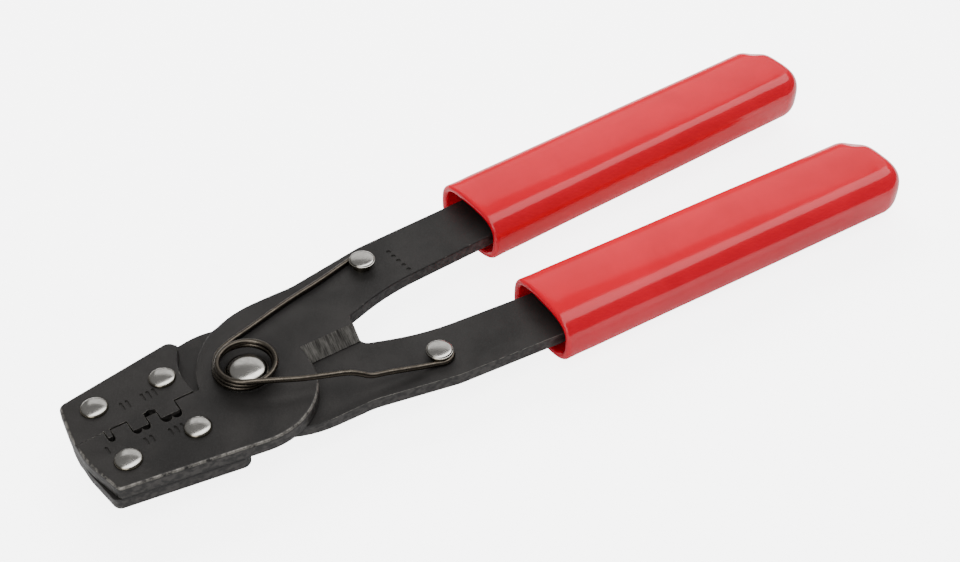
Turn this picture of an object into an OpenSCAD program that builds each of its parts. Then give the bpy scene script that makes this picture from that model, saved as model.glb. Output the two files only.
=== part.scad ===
// Hand crimping tool, modelled closed: two pivoted plate levers, a die plate
// riveted to each jaw, a shear wire cutter behind the pivot, a return spring
// on the pivot and two vinyl grips.
// Origin: on the pivot axis, halfway between the two sliding lever faces.
// +X runs to the handles, +Y to the upper handle, +Z out of the marked side.

/* [Plates] */
// Thickness of each lever and of each die plate
plate_t = 3; // [2.4:0.1:4]
// Gap between the faces of the two levers, and under the lower washer
slide_gap = 0.1; // [0.04:0.02:0.2]

/* [Head] */
// Distance from the pivot axis to the front of the jaws
jaw_reach = 36.2; // [34:0.2:44]
// Height of the upper jaw's corner above the pivot, at the front
upper_jaw_h = 12.6; // [11:0.1:16]
// Depth of the lower jaw's corner below the pivot, at the front
lower_jaw_h = 13.4; // [11:0.1:16]
// Growth of the jaw height for each millimetre towards the pivot
jaw_taper = 0.168; // [0.1:0.002:0.2]
// Height of the parting line above the pivot
parting_y = 1; // [0.4:0.1:1.4]
// Radius of the round on the outer side of the hub
hub_outer_r = 15.2; // [13:0.1:17]
// Radius of the cam-like round that faces the other jaw
hub_inner_r = 20.9; // [18:0.1:23]
// Distance from the pivot axis to the hub's step beside the jaw
hub_step_x = 10.1; // [9.4:0.1:10.6]
// Distance from the pivot axis to the hub's straight side at the cutter
hub_side_x = 12.3; // [11:0.1:14]

/* [Dies] */
// Side clearance between a tooth and its nest
tooth_gap = 0.15; // [0.1:0.01:0.3]
// Gap between the jaw edges away from the front land
edge_relief = 0.4; // [0.2:0.05:0.8]
// Length of the front land where the jaws meet
front_land = 5.8; // [4:0.1:5.8]
// Depth of the small nest's tooth below the parting line
small_tooth_depth = 1.75; // [1:0.05:2]
// Depth of the two wide teeth below the parting line
wide_tooth_depth = 2.7; // [2:0.05:3]
// Narrowing of each tooth's side over its depth
tooth_draft = 0.12; // [0:0.02:0.3]
// Drop of the middle lower tooth below the parting line
middle_tooth_drop = 0.8; // [0.4:0.05:1.2]

/* [Cutter] */
// Length of the cutting edge
cutter_len = 12.5; // [8:0.1:14]
// Overlap of each cutting edge past the pivot's centre line
cutter_overlap = 2.7; // [1.5:0.1:4]
// Width of the ground bevel, seen from above
bevel_w = 3; // [1.5:0.1:4]
// Flat left at the cutting edge under the bevel
edge_land = 0.15; // [0.05:0.05:0.4]

/* [Handles] */
// Width of each handle in front of its grip
handle_w = 13.9; // [11:0.1:16]
// Distance from the pivot axis to the end of each tang
tang_reach = 150; // [120:1:158]
// Width of each tang at its end
tang_end_w = 9.5; // [7:0.1:12]
// Extra opening of the lower handle against the upper one, in degrees
lower_splay = 3; // [0:0.25:4]

/* [Rivets] */
// Radius of a jaw rivet's head
rivet_head_r = 2.75; // [2.2:0.05:3.2]
// Height of a jaw rivet's domed head
rivet_head_h = 1.05; // [0.6:0.05:1.6]
// Radius of a jaw rivet's shank
rivet_shank_r = 1.7; // [1.2:0.05:2]
// Radius of the pivot rivet's shank
pivot_r = 3; // [2.4:0.05:3.4]
// Running clearance around the pivot's shank
pivot_gap = 0.05; // [0.02:0.01:0.1]
// Radius of the pivot rivet's head
pivot_head_r = 4.2; // [3.6:0.05:4.3]
// Height of the pivot rivet's domed head
pivot_head_h = 1.6; // [1:0.05:2.2]
// Radius of the two pivot washers
washer_r = 4.4; // [4.3:0.05:4.9]
// Thickness of the two pivot washers
washer_t = 0.6; // [0.4:0.05:1]

/* [Spring] */
// Diameter of the spring wire
wire_d = 1.2; // [0.8:0.05:1.4]
// Radius of the coil, at the middle of the wire
coil_r = 5.9; // [5.7:0.05:6.6]
// Number of turns lying on each other in the coil
coil_turns = 3; // [2:1:4]
// Gap that keeps the wire off the plates and posts
wire_gap = 0.03; // [0.01:0.01:0.1]
// Radius of a spring post's neck
post_neck_r = 2.1; // [1.8:0.05:2.4]
// Radius of a spring post's head
post_head_r = 2.85; // [2.6:0.05:3.2]
// Height of the straight side of a spring post's head
post_head_t = 0.6; // [0.4:0.05:1]

/* [Grips] */
// Length of each grip
grip_len = 100; // [94:1:120]
// Width of each grip
grip_w = 21; // [18:0.5:22]
// Thickness of each grip
grip_h = 13; // [11:0.5:16]
// Corner radius of the grip's section
grip_corner_r = 5.2; // [3:0.1:5.4]
// Wall of the grip around its open mouth
grip_wall = 1.7; // [1.2:0.1:2.4]
// Depth of the open mouth
mouth_depth = 32; // [10:1:50]
// Slope of each grip away from the centre line, in degrees
grip_slope = 2.1; // [0:0.1:3]

/* [Hidden] */
$fn = 96;

half_gap = slide_gap / 2;
round_margin = 0.003;

// Jaw edges: the lower jaw ends just under the parting line, the upper jaw
// meets it along the front land and stands back by the relief elsewhere.
closing_gap = 0.05;
lower_edge_y = parting_y - closing_gap;
upper_edge_y = lower_edge_y + edge_relief;
jaw_front_x = -jaw_reach;
jaw_corner_x = jaw_front_x + 1.1;
front_bend_y = 4;
front_bend_r = 18;

// Nests, from the front: centre, half width, depth of the lobes' centres,
// lobe radius, distance of each lobe from the centre, depth of the tooth
nests = [
    [jaw_front_x + 6.5, 0.72, 2.45, 0.6, 0.02, small_tooth_depth],
    [jaw_front_x + 12.4, 1.88, 3.05, 0.85, 0.9, wide_tooth_depth],
    [jaw_front_x + 18.6, 2.2, 3.25, 1.05, 1.05, wide_tooth_depth]
];
middle_slot_r = 0.85;
middle_slot_drop = 0.2;
middle_slot_depth = 4;

// Die plates: rear edge, standing clear of the other lever's hub
plate_back_x = -11.2;
plate_back_bend = [-12.1, 7.9];
plate_back_tip_x = -6.3;

// Hub and handle outline
hub_top_x = 3.35 - hub_step_x;
hub_top_y = 17.9;
hub_step_y = 1;
hub_step_depth = 0.25;
throat_slope = 0.2;
cutter_end_x = hub_side_x + cutter_len;
throat_y = 2.4;
splay_throat = -0.33;
throat_r = 1.2;
splay_throat_r = 0.33;
inner_bend = [37, 6];
grip_start = [64.2, 15.1];
lower_grip_start = [60.8, -17.1];
handle_inner_y = 7.2;
waist = [19.5, 17.2];
shoulder_x = 38;

// Riveted pieces
jaw_rivet_front = [jaw_front_x + 6.9, 7.9];
jaw_rivet_rear = [jaw_front_x + 21.4, 7.9];
upper_post_at = [35.8, 14.4];
lower_post_at = [36.2, -15.3];
wire_r = wire_d / 2;
post_neck_h = wire_d + 0.15;
post_dome_h = 0.5;
post_shank_r = 1.6;
post_tail_h = 0.7;
post_tail_spread = 0.3;
tail_h = 0.9;
pivot_tail_drop = 0.4;

// Return spring: the coil enters on its lowest turn and leaves on its highest
coil_enter = 145;
coil_leave = 242 + 360 * (coil_turns - 1);
coil_step = 15;
coil_pitch = wire_d + 0.02;
coil_foot = [-0.15, 0.8];
coil_lean = [0.35, -1.1];
coil_z = plate_t + wire_r + wire_gap;
coil_top_z = coil_z + coil_pitch * (coil_leave - coil_enter) / 360;
post_wire_r = post_neck_r + wire_r + wire_gap;
lower_hook_z = -half_gap + wire_r + wire_gap;
hook_points = 4;
wire_sides = 12;
wire_steps = 2;
// Arms from end to end: [x, y], and [x, y, share of the way down to the lower hook]
upper_arm = [[32.2, 16.4], [25.3, 14.7], [15.9, 12.8], [6.3, 10.3], [0.4, 8.8], [-2.9, 7.2]];
lower_arm = [[1.6, -7.5, 0.035], [6.7, -9.9, 0.104], [11.4, -11.5, 0.19], [16, -12.8, 0.311],
             [18.3, -13.7, 0.466], [20.4, -14.5, 0.639], [24.4, -15.3, 0.742], [30.4, -16.7, 0.898]];
lower_hook_from = 254;
hook_lead = [1.3, 0.1];

// Grips
grip_mid_z = plate_t / 2;
grip_end_r = 8;
grip_end_spread = 0.01;

// ---- Plane geometry -------------------------------------------------------

function unit(v) = v / norm(v);
function turned(p, angle) = [p.x * cos(angle) - p.y * sin(angle), p.x * sin(angle) + p.y * cos(angle)];
function turn_left(a, b, c) = (b.x - a.x) * (c.y - b.y) - (b.y - a.y) * (c.x - b.x) > 0;

// A filleted corner of an outline: [first tangent point, corner, last tangent
// point, centre, radius, whether the corner points outwards]
function fillet(a, b, c, r) =
    let (to_a = unit(a - b), to_c = unit(c - b), half = acos(to_a * to_c) / 2, cut = r / tan(half))
    [b + to_a * cut, b, b + to_c * cut, b + unit(to_a + to_c) * r / sin(half), r, turn_left(a, b, c)];

function at_xy(corner) = [corner[0], corner[1]];
function outline_fillets(corners) =
    let (n = len(corners))
    [for (i = [0:n - 1])
        fillet(at_xy(corners[(i + n - 1) % n]), at_xy(corners[i]), at_xy(corners[(i + 1) % n]), corners[i][2])];

// Piece of the fillet's circle past its chord. The margin lets the circle cross
// the sides at a small angle, because two edges that only touch don't join well.
module round_of(corner) {
    intersection() {
        translate(corner[3]) circle(r = corner[4] + round_margin, $fn = 4 * $fn);
        polygon([corner[0], corner[1], corner[2]]);
    }
}

// Closed outline through corners [x, y, fillet radius], anticlockwise
module rounded_outline(corners) {
    cuts = outline_fillets(corners);
    difference() {
        union() {
            polygon([for (c = cuts) each (c[4] > 0 ? [c[0], c[2]] : [c[1]])]);
            for (c = cuts) if (c[4] > 0 && c[5]) round_of(c);
        }
        for (c = cuts) if (c[4] > 0 && !c[5]) round_of(c);
    }
}

module rounded_rectangle(length, width, r) {
    x = length / 2;
    y = width / 2;
    rounded_outline([[-x, -y, r], [x, -y, r], [x, y, r], [-x, y, r]]);
}

module slab(low_z, high_z) {
    translate([0, 0, low_z]) linear_extrude(high_z - low_z) children();
}

// ---- Jaw profiles ---------------------------------------------------------

// Nests cut into the lower jaw, down from its edge
module nest_cuts() {
    for (n = nests) {
        floor_y = parting_y - n[2];
        translate([n[0] - n[1], floor_y]) square([2 * n[1], n[2] + 1]);
        for (side = [-1, 1]) translate([n[0] + side * n[4], floor_y]) circle(r = n[3]);
    }
    left = nests[1][0];
    translate([left, parting_y - middle_tooth_drop]) square([nests[2][0] - left, 2]);
}

// Teeth that hang from the upper jaw into the nests
module teeth() {
    for (n = nests) {
        root = n[1] - tooth_gap;
        tip_y = parting_y - n[5];
        polygon([
            [n[0] - root, upper_edge_y + 0.1], [n[0] - root, parting_y],
            [n[0] - root + tooth_draft, tip_y], [n[0] + root - tooth_draft, tip_y],
            [n[0] + root, parting_y], [n[0] + root, upper_edge_y + 0.1]
        ]);
    }
    translate([jaw_front_x, parting_y]) square([front_land, edge_relief]);
}

// Round-topped slot in the upper jaw over the middle lower tooth
module middle_slot() {
    left = nests[1][0] + nests[1][1] - tooth_gap;
    right = nests[2][0] - nests[2][1] + tooth_gap;
    middle = (left + right) / 2;
    translate([middle, parting_y - middle_slot_drop]) circle(r = middle_slot_r);
    translate([left, parting_y - middle_slot_depth])
        square([right - left, middle_slot_depth - middle_slot_drop]);
}

// ---- Plates ---------------------------------------------------------------

// Plan of a lever whose jaw lies below the centre line. The handle corners
// turn about the pivot by the splay angle.
module lever_plan(jaw_h, edge_y, splay) {
    outer_y = -(jaw_h + jaw_taper * (hub_side_x - jaw_corner_x));
    grip_end_y = grip_start.y + (tang_reach - grip_start.x) * tan(grip_slope);
    handle = [
        [inner_bend.x, inner_bend.y, 55],
        [grip_start.x, handle_inner_y, 20],
        [tang_reach, grip_end_y - tang_end_w / 2, 3],
        [tang_reach, grip_end_y + tang_end_w / 2, 3],
        [grip_start.x, handle_inner_y + handle_w, 40],
        [shoulder_x, waist.y + 3, 14],
        [waist.x, waist.y, 16]
    ];
    rounded_outline(concat(
        [
            [jaw_front_x, edge_y, 0],
            [jaw_front_x, -front_bend_y, front_bend_r],
            [jaw_corner_x + 1.2, -jaw_h - 0.2, 1.2],
            [hub_side_x, outer_y, hub_outer_r],
            [hub_side_x, -cutter_overlap, 0],
            [cutter_end_x, -cutter_overlap, 0],
            [cutter_end_x + throat_slope, throat_y - splay_throat * splay, throat_r + splay_throat_r * splay]
        ],
        [for (c = handle) concat(turned([c[0], c[1]], splay), c[2])],
        [
            [hub_top_x, hub_top_y, hub_inner_r],
            [-hub_step_x, hub_step_y, 0],
            [-hub_step_x - hub_step_depth, min(edge_y, hub_step_y - closing_gap), 0]
        ]
    ));
}

// Plan of a die plate for a jaw below the centre line
module die_plate_plan(jaw_h, edge_y) {
    back_y = -(jaw_h + jaw_taper * (plate_back_tip_x - jaw_corner_x));
    rounded_outline([
        [jaw_front_x, edge_y, 0],
        [jaw_front_x, -front_bend_y, front_bend_r],
        [jaw_corner_x + 0.2, -jaw_h, 1.8],
        [plate_back_tip_x, back_y, 2],
        [plate_back_bend.x, -plate_back_bend.y, 16.5],
        [plate_back_x, edge_y, 0]
    ]);
}

module lever_holes(shank_r) {
    for (at = [jaw_rivet_front, jaw_rivet_rear]) translate([at.x, -at.y]) circle(r = rivet_shank_r);
    circle(r = shank_r);
}

// Wedge that grinds the bevel onto a cutting edge
module bevel_cut() {
    low = half_gap + edge_land;
    translate([hub_side_x, 0, 0])
        rotate([90, 0, 90])
            linear_extrude(cutter_len + 0.6)
                polygon([
                    [-cutter_overlap - 1, low], [-cutter_overlap, low],
                    [-cutter_overlap + bevel_w, plate_t], [-cutter_overlap + bevel_w, plate_t + 1],
                    [-cutter_overlap - 1, plate_t + 1]
                ]);
}

module upper_lever() {
    color([0.16, 0.15, 0.15])
        difference() {
            slab(half_gap, plate_t) difference() {
                lever_plan(lower_jaw_h, lower_edge_y, 0);
                lever_holes(pivot_r);
                nest_cuts();
                translate(upper_post_at) circle(r = post_shank_r);
            }
            bevel_cut();
        }
}

module lower_lever() {
    color([0.16, 0.15, 0.15])
        difference() {
            slab(-plate_t, -half_gap) {
                difference() {
                    mirror([0, 1]) difference() {
                        lever_plan(upper_jaw_h, -upper_edge_y, lower_splay);
                        lever_holes(pivot_r + pivot_gap);
                    }
                    translate(lower_post_at) circle(r = post_shank_r);
                    middle_slot();
                }
                teeth();
            }
            rotate([180, 0, 0]) bevel_cut();
        }
}

module die_plate_holes() {
    for (at = [jaw_rivet_front, jaw_rivet_rear]) translate(at) circle(r = rivet_shank_r);
}

module upper_jaw_die_plate() {
    color([0.17, 0.16, 0.16])
        slab(-half_gap, plate_t) {
            difference() {
                mirror([0, 1]) die_plate_plan(upper_jaw_h, -upper_edge_y);
                die_plate_holes();
                middle_slot();
            }
            teeth();
        }
}

module lower_jaw_die_plate() {
    color([0.17, 0.16, 0.16])
        slab(-plate_t, half_gap) difference() {
            die_plate_plan(lower_jaw_h, lower_edge_y);
            mirror([0, 1]) die_plate_holes();
            nest_cuts();
        }
}

// ---- Rivets and posts -----------------------------------------------------

// Low dome standing on z = 0
module dome(r, h) {
    ball_r = (r * r + h * h) / (2 * h);
    intersection() {
        translate([0, 0, h - ball_r]) sphere(r = ball_r, $fn = 180);
        cylinder(r = r, h = h);
    }
}

// Rivet with a domed head above and a domed tail below
module rivet(low_z, high_z, shank_r, head_r, head_h, foot_h) {
    translate([0, 0, low_z]) cylinder(r = shank_r, h = high_z - low_z);
    translate([0, 0, high_z]) dome(head_r, head_h);
    translate([0, 0, low_z]) rotate([180, 0, 0]) dome(head_r, foot_h);
}

module jaw_rivet(at) {
    color([0.78, 0.76, 0.73])
        translate(at) rivet(-plate_t, plate_t, rivet_shank_r, rivet_head_r, rivet_head_h, tail_h);
}

module upper_front_jaw_rivet() {
    jaw_rivet(jaw_rivet_front);
}

module upper_rear_jaw_rivet() {
    jaw_rivet(jaw_rivet_rear);
}

module lower_front_jaw_rivet() {
    jaw_rivet([jaw_rivet_front.x, -jaw_rivet_front.y]);
}

module lower_rear_jaw_rivet() {
    jaw_rivet([jaw_rivet_rear.x, -jaw_rivet_rear.y]);
}

module washer(low_z) {
    color([0.62, 0.58, 0.52])
        slab(low_z, low_z + washer_t) difference() {
            circle(r = washer_r);
            circle(r = pivot_r);
        }
}

module pivot_top_washer() {
    washer(plate_t);
}

module pivot_bottom_washer() {
    washer(-plate_t - half_gap - washer_t);
}

module pivot_rivet() {
    color([0.78, 0.76, 0.73])
        rivet(-plate_t - half_gap - washer_t, plate_t + washer_t, pivot_r,
              pivot_head_r, pivot_head_h, pivot_head_h - pivot_tail_drop);
}

// Headed post: shank in the lever, neck for the spring, flat-sided head
module spring_post(low_z, high_z) {
    head_z = high_z + post_neck_h;
    translate([0, 0, low_z]) cylinder(r = post_shank_r, h = high_z - low_z);
    translate([0, 0, high_z]) cylinder(r = post_neck_r, h = post_neck_h);
    translate([0, 0, head_z]) cylinder(r = post_head_r, h = post_head_t);
    translate([0, 0, head_z + post_head_t]) dome(post_head_r, post_dome_h);
    translate([0, 0, low_z]) rotate([180, 0, 0]) dome(post_neck_r + post_tail_spread, post_tail_h);
}

module upper_spring_post() {
    color([0.78, 0.76, 0.73]) translate(upper_post_at) spring_post(half_gap, plate_t);
}

module lower_spring_post() {
    color([0.78, 0.76, 0.73]) translate(lower_post_at) spring_post(-plate_t, -half_gap);
}

// ---- Return spring --------------------------------------------------------

// Part of a hook around a post, as control points at one height
function hook(centre, from, to, z) =
    [for (i = [0:hook_points - 1])
        let (a = from + (to - from) * i / (hook_points - 1))
        [centre.x + post_wire_r * cos(a), centre.y + post_wire_r * sin(a), z]];

// Point just before a hook, on its tangent and a little above it
function hook_entry(centre, from, z) =
    [centre.x + post_wire_r * cos(from) + hook_lead.x * sin(from),
     centre.y + post_wire_r * sin(from) - hook_lead.x * cos(from), z + hook_lead.y];

// The coil climbs from the lower turn and leans a little as it climbs
function coil_points() =
    let (n = ceil((coil_leave - coil_enter) / coil_step))
    [for (i = [0:n])
        let (t = i / n, a = coil_enter + (coil_leave - coil_enter) * t)
        [coil_foot.x + coil_lean.x * t + coil_r * cos(a),
         coil_foot.y + coil_lean.y * t + coil_r * sin(a),
         coil_z + coil_pitch * (a - coil_enter) / 360]];

// Smooth curve through every control point
function blend_point(a, b, c, d, t) =
    (2 * b + (c - a) * t + (2 * a - 5 * b + 4 * c - d) * t * t + (3 * b - a - 3 * c + d) * t * t * t) / 2;
function smooth(points, steps) =
    let (last = len(points) - 1)
    [for (i = [0:last - 1]) for (k = [0:steps - 1])
        blend_point(points[max(i - 1, 0)], points[i], points[i + 1], points[min(i + 2, last)], k / steps),
     points[last]];

// Round wire swept along a route that never stands upright
module wire_along(route) {
    last = len(route) - 1;
    rings = [for (i = [0:last])
        let (
            run = unit(route[min(i + 1, last)] - route[max(i - 1, 0)]),
            side = unit(cross([0, 0, 1], run)),
            up = cross(run, side)
        )
        [for (k = [0:wire_sides - 1])
            let (a = 360 * k / wire_sides)
            route[i] + wire_r * (cos(a) * side + sin(a) * up)]];
    polyhedron(
        [for (r = rings) each r],
        concat(
            [[for (k = [0:wire_sides - 1]) wire_sides - 1 - k]],
            [for (i = [0:last - 1]) for (k = [0:wire_sides - 1])
                let (m = (k + 1) % wire_sides, low = i * wire_sides, high = low + wire_sides)
                each [[low + k, low + m, high + m], [low + k, high + m, high + k]]],
            [[for (k = [0:wire_sides - 1]) last * wire_sides + k]]
        ),
        convexity = 10
    );
}

// One wire: round the upper post, along to the lowest turn, up the coil, and
// from the highest turn down past a joggle to the lower post
module return_spring() {
    color([0.42, 0.39, 0.34])
        wire_along(smooth(
            concat(
                hook(upper_post_at, 30, 103, coil_z),
                [for (p = upper_arm) [p.x, p.y, coil_z]],
                coil_points(),
                [for (p = lower_arm) [p[0], p[1], coil_top_z + (lower_hook_z - coil_top_z) * p[2]]],
                [hook_entry(lower_post_at, lower_hook_from, lower_hook_z)],
                hook(lower_post_at, lower_hook_from, 325, lower_hook_z)
            ),
            wire_steps
        ));
}

// ---- Grips ----------------------------------------------------------------

// Grip along +X from its mouth at x = 0, centred on the axis
module grip_body() {
    half = grip_len / 2;
    intersection() {
        rotate([90, 0, 90]) linear_extrude(grip_len) rounded_rectangle(grip_w, grip_h, grip_corner_r);
        slab(-grip_h, grip_h) rounded_outline([
            [0, -grip_w, 0], [grip_len, -grip_w / 2 - grip_end_spread, grip_end_r],
            [grip_len, grip_w / 2 + grip_end_spread, grip_end_r], [0, grip_w, 0]
        ]);
        translate([0, grip_w, 0]) rotate([90, 0, 0]) linear_extrude(2 * grip_w) rounded_outline([
            [0, -grip_h, 0], [grip_len, -grip_h / 2 - grip_end_spread, grip_corner_r],
            [grip_len, grip_h / 2 + grip_end_spread, grip_corner_r], [0, grip_h, 0]
        ]);
    }
}

module grip_mouth() {
    translate([-1, 0, 0]) rotate([90, 0, 90])
        linear_extrude(mouth_depth + 1)
            rounded_rectangle(grip_w - 2 * grip_wall, grip_h - 2 * grip_wall, grip_corner_r - grip_wall);
}

module placed_grip(start, mid_z, slope) {
    translate([start.x, start.y, mid_z]) rotate([0, 0, slope]) difference() {
        grip_body();
        grip_mouth();
    }
}

module upper_grip() {
    color([0.8, 0.05, 0.1])
        difference() {
            placed_grip(grip_start, grip_mid_z, grip_slope);
            slab(half_gap, plate_t) lever_plan(lower_jaw_h, lower_edge_y, 0);
        }
}

module lower_grip() {
    color([0.8, 0.05, 0.1])
        difference() {
            placed_grip(lower_grip_start, -grip_mid_z, -grip_slope);
            slab(-plate_t, -half_gap) mirror([0, 1]) lever_plan(upper_jaw_h, -upper_edge_y, lower_splay);
        }
}

upper_lever();
lower_lever();
upper_jaw_die_plate();
lower_jaw_die_plate();
pivot_rivet();
pivot_top_washer();
pivot_bottom_washer();
upper_front_jaw_rivet();
upper_rear_jaw_rivet();
lower_front_jaw_rivet();
lower_rear_jaw_rivet();
upper_spring_post();
lower_spring_post();
return_spring();
upper_grip();
lower_grip();
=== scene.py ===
"""Looks of a hand crimping tool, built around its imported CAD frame.

Black plate levers with rounded and worn edges, domed rivets, a wire return
spring, turned posts and red vinyl sleeves stand for the plain CAD solids.
"""

import logging
from dataclasses import dataclass
from enum import Enum
from math import ceil, copysign, cos, exp, pi, radians, sin, sqrt
from typing import Iterable, Sequence

import bmesh
import bpy
import numpy as np
from mathutils import Matrix, Vector
from mathutils.geometry import delaunay_2d_cdt


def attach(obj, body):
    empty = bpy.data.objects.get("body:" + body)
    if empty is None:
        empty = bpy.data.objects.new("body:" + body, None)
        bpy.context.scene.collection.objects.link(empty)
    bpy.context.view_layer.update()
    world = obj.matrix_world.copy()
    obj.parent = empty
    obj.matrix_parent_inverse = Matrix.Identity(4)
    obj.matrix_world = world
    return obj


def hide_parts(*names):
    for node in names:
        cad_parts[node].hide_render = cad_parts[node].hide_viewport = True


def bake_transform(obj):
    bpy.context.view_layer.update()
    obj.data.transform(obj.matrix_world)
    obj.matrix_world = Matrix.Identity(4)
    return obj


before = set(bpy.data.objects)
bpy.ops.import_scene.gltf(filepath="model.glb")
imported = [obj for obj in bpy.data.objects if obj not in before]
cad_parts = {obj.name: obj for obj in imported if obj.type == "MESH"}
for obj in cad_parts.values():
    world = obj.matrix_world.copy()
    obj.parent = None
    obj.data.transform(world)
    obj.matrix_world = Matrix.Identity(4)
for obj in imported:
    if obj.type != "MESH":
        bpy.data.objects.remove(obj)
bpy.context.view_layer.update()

MM = 0.001
LOG = logging.getLogger("crimping_tool")
Pair = tuple[float, float]
Point = tuple[float, float, float]
Socket = bpy.types.NodeSocket
Node = bpy.types.Node
Tree = bpy.types.NodeTree
Material = bpy.types.Material
Object = bpy.types.Object
BMesh = bmesh.types.BMesh

# All in millimetres: the plates' outer faces lie at FACE_Z and -FACE_Z, the
# levers' inner faces at GAP_Z and -GAP_Z, and the spring posts stand at these
# points. Every jaw rivet has the same sizes.
FACE_Z = 3.0
GAP_Z = 0.05
UPPER_POST: Pair = (35.8, 14.4)
LOWER_POST: Pair = (36.2, -15.3)
RIVET = {
    "Head Radius": 2.75, "Head Height": 1.05, "Tail Height": 0.9,
    "Shank Radius": 1.7, "Stack": 2 * FACE_Z,
}


class Half(Enum):
    """The two bodies of the tool."""

    UPPER = "upper_half"
    LOWER = "lower_half"


class Side(Enum):
    """Which way a lever's handle lies from the centre line."""

    UP = 1
    DOWN = -1


class Kind(Enum):
    """Kinds of sockets and trees that the groups use."""

    VALUE = "NodeSocketFloat"
    COUNT = "NodeSocketInt"
    SHAPE = "NodeSocketGeometry"
    FINISH = "NodeSocketMaterial"
    SHADER_TREE = "ShaderNodeTree"
    SHAPE_TREE = "GeometryNodeTree"


# ---- Node helpers ----


class Nodes:
    """Adds and joins nodes of one tree with little writing."""

    def __init__(self, tree: Tree) -> None:
        """Keeps the tree that is filled."""
        self.tree = tree

    def feed(self, node: Node, inputs: dict) -> None:
        """Joins or sets inputs of a node.

        Args:
            node: The node.
            inputs: Output sockets or constants by input name or index.
        """
        for key, value in inputs.items():
            if isinstance(value, Socket):
                self.tree.links.new(value, node.inputs[key])
            else:
                node.inputs[key].default_value = value

    def add(self, kind: str, inputs: dict | None = None, **props: object) -> Node:
        """Adds a node.

        Args:
            kind: The node's type name.
            inputs: Output sockets or constants by input name or index.
            props: Properties of the node.

        Returns:
            The new node.
        """
        node = self.tree.nodes.new(kind)
        for name, value in props.items():
            setattr(node, name, value)
        self.feed(node, inputs or {})
        return node

    def math(self, operation: str, *values: object, clamp: bool = False) -> Socket:
        """Adds a Math node and returns its result."""
        inputs = dict(enumerate(values))
        return self.add("ShaderNodeMath", inputs, operation=operation, use_clamp=clamp).outputs[0]

    def ramp(self, value: Socket, low: float, high: float) -> Socket:
        """Returns value mapped smoothly from low..high to 0..1."""
        inputs = {"Value": value, "From Min": low, "From Max": high}
        return self.add("ShaderNodeMapRange", inputs, interpolation_type="SMOOTHSTEP").outputs[0]

    def mix(self, factor: object, first: object, second: object) -> Socket:
        """Returns a colour between first and second."""
        inputs = {0: factor}
        for key, colour in ((6, first), (7, second)):
            inputs[key] = colour if isinstance(colour, Socket) else (*colour, 1.0)
        return self.add("ShaderNodeMix", inputs, data_type="RGBA").outputs[2]

    def vector(self, x: object = 0.0, y: object = 0.0, z: object = 0.0) -> Socket:
        """Returns a vector made of three values."""
        return self.add("ShaderNodeCombineXYZ", {0: x, 1: y, 2: z}).outputs[0]

    def parts(self, vector: Socket) -> Iterable[Socket]:
        """Returns x, y and z of a vector."""
        return self.add("ShaderNodeSeparateXYZ", {0: vector}).outputs

    def place(self, scale: Point | None = None, turn: float = 0.0) -> Socket:
        """Returns the place on the piece, turned about z and stretched if asked."""
        place = self.add("ShaderNodeTexCoord").outputs["Object"]
        if scale is None:
            return place
        inputs = {"Vector": place, "Rotation": (0.0, 0.0, turn), "Scale": scale}
        return self.add("ShaderNodeMapping", inputs).outputs[0]

    def lean(self) -> Socket:
        """Returns 0 where the surface stands upright and 1 where it lies flat."""
        normal = self.add("ShaderNodeNewGeometry").outputs["Normal"]
        return self.math("ABSOLUTE", list(self.parts(normal))[2])

    def noise(self, place: Socket, scale: object, detail: float, **more: float) -> Socket:
        """Returns the value of a noise texture."""
        inputs = {"Vector": place, "Scale": scale, "Detail": detail, **more}
        return self.add("ShaderNodeTexNoise", inputs).outputs[0]

    def bump(self, strength: float, distance: float, height: Socket) -> Socket:
        """Returns a normal bent by a height."""
        inputs = {"Strength": strength, "Distance": distance, "Height": height}
        return self.add("ShaderNodeBump", inputs).outputs[0]


@dataclass
class Group:
    """A node group with its two end nodes and its inputs' identifiers."""

    nodes: Nodes
    entry: Node
    leave: Node
    marks: dict[str, str]

    @classmethod
    def start(cls, kind: Kind, name: str, inputs: dict, outputs: dict[str, Kind]) -> "Group":
        """Starts a group.

        Args:
            kind: The kind of tree.
            name: The group's name.
            inputs: Each input's kind or, for a plain value, its default.
            outputs: Each output's kind.

        Returns:
            The group with no inner nodes yet.
        """
        tree = bpy.data.node_groups.new(name, kind.value)
        marks = {}
        for label, given in inputs.items():
            sort = given if isinstance(given, Kind) else Kind.VALUE
            socket = tree.interface.new_socket(label, in_out="INPUT", socket_type=sort.value)
            if sort is not given:
                socket.default_value = given
            marks[label] = socket.identifier
        for label, sort in outputs.items():
            tree.interface.new_socket(label, in_out="OUTPUT", socket_type=sort.value)
        nodes = Nodes(tree)
        return cls(nodes, nodes.add("NodeGroupInput"), nodes.add("NodeGroupOutput"), marks)

    def close(self, shape: Socket) -> None:
        """Makes a shape real, paints it with the input Finish and puts it out."""
        real = self.nodes.add("GeometryNodeRealizeInstances", {0: shape}).outputs[0]
        inputs = {"Geometry": real, "Material": self.entry.outputs["Finish"]}
        done = self.nodes.add("GeometryNodeSetMaterial", inputs)
        self.nodes.feed(self.leave, {0: done.outputs[0]})

    def grow(self, name: str, points: Sequence, edges: Sequence, values: dict) -> Object:
        """Runs the group on a bare mesh.

        Args:
            name: The name of what comes out.
            points: The mesh's points, in metres.
            edges: Pairs of point numbers.
            values: The group's inputs by name.

        Returns:
            A plain mesh object.
        """
        mesh = bpy.data.meshes.new(name + "_seed")
        mesh.from_pydata(points, edges, [])
        seed = new_object(name + "_seed", mesh)
        modifier = seed.modifiers.new("grow", "NODES")
        modifier.node_group = self.nodes.tree
        for label, value in values.items():
            modifier[self.marks[label]] = value
        return frozen(seed, name)


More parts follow.
